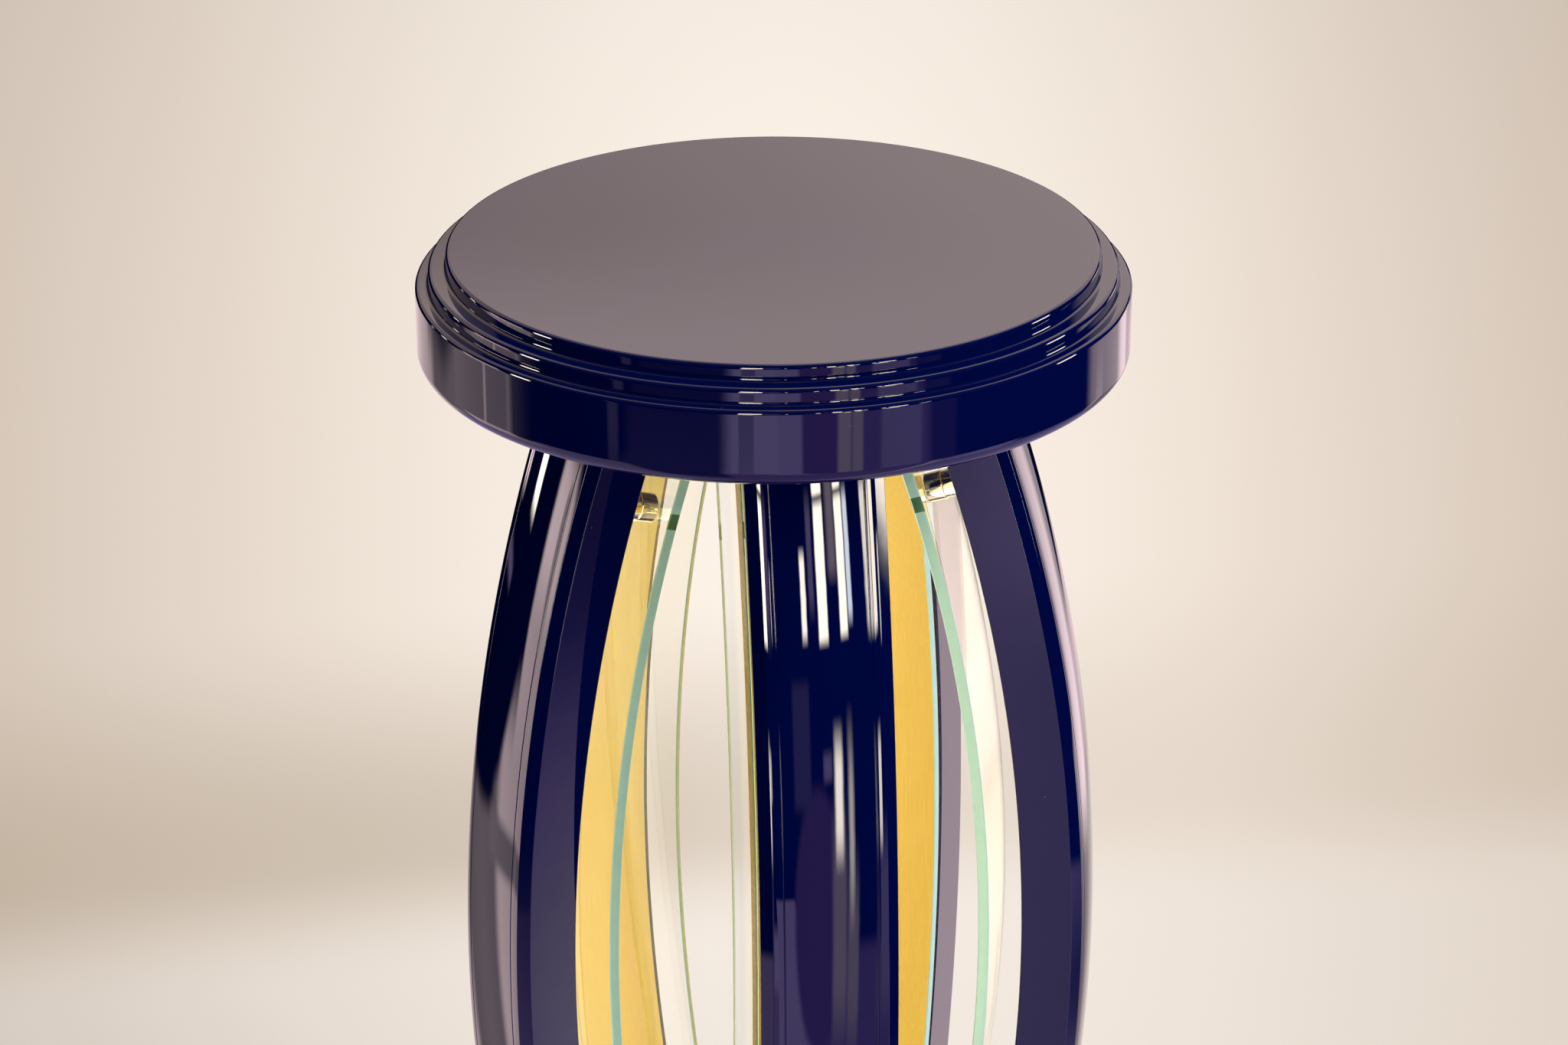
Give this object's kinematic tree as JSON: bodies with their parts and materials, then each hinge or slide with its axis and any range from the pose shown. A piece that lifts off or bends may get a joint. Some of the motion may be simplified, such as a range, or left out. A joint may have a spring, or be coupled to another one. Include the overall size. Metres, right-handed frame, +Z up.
{
  "type": "bowed-leg drum stool",
  "caption": "Tall round stool: stepped lacquered seat and base joined by bowed moulded legs with gold inner faces and bent glass strips on standoffs.",
  "frame": {"origin": "centre of the stool at floor level, under the floor pads", "axes": "+Z up along the stool's axis; leg 1 stands at the front, towards -Y"},
  "size_m": [0.38, 0.38, 0.77],
  "materials": {
    "lacquer": "high-gloss blue-violet-black lacquer on wood",
    "gold_sheet": "satin gold-coloured sheet",
    "clear_glass": "clear bent glass with polished green edges",
    "polished_metal": "polished plated metal",
    "steel": "plain zinc-plated steel",
    "clear_plastic": "clear moulded sleeve",
    "beech": "plain beech dowel",
    "felt": "pressed felt"
  },
  "bodies": {
    "root": {"seat_top": "lacquer", "leg_1": "lacquer", "leg_2": "lacquer", "leg_3": "lacquer", "leg_4": "lacquer", "leg_5": "lacquer", "gold_facing_1": "gold_sheet", "gold_facing_2": "gold_sheet", "gold_facing_3": "gold_sheet", "gold_facing_4": "gold_sheet", "gold_facing_5": "gold_sheet", "glass_strip_1": "clear_glass", "glass_strip_2": "clear_glass", "glass_strip_3": "clear_glass", "glass_strip_4": "clear_glass", "glass_strip_5": "clear_glass", "standoff_barrels": "polished_metal", "standoff_collars": "polished_metal", "glass_screws": "steel", "glass_bushes": "clear_plastic", "base_plinth": "lacquer", "dowels": "beech", "leg_inserts": "steel", "base_bolts": "steel", "bolt_washers": "steel", "floor_pads": "felt"}
  },
  "joints": []
}
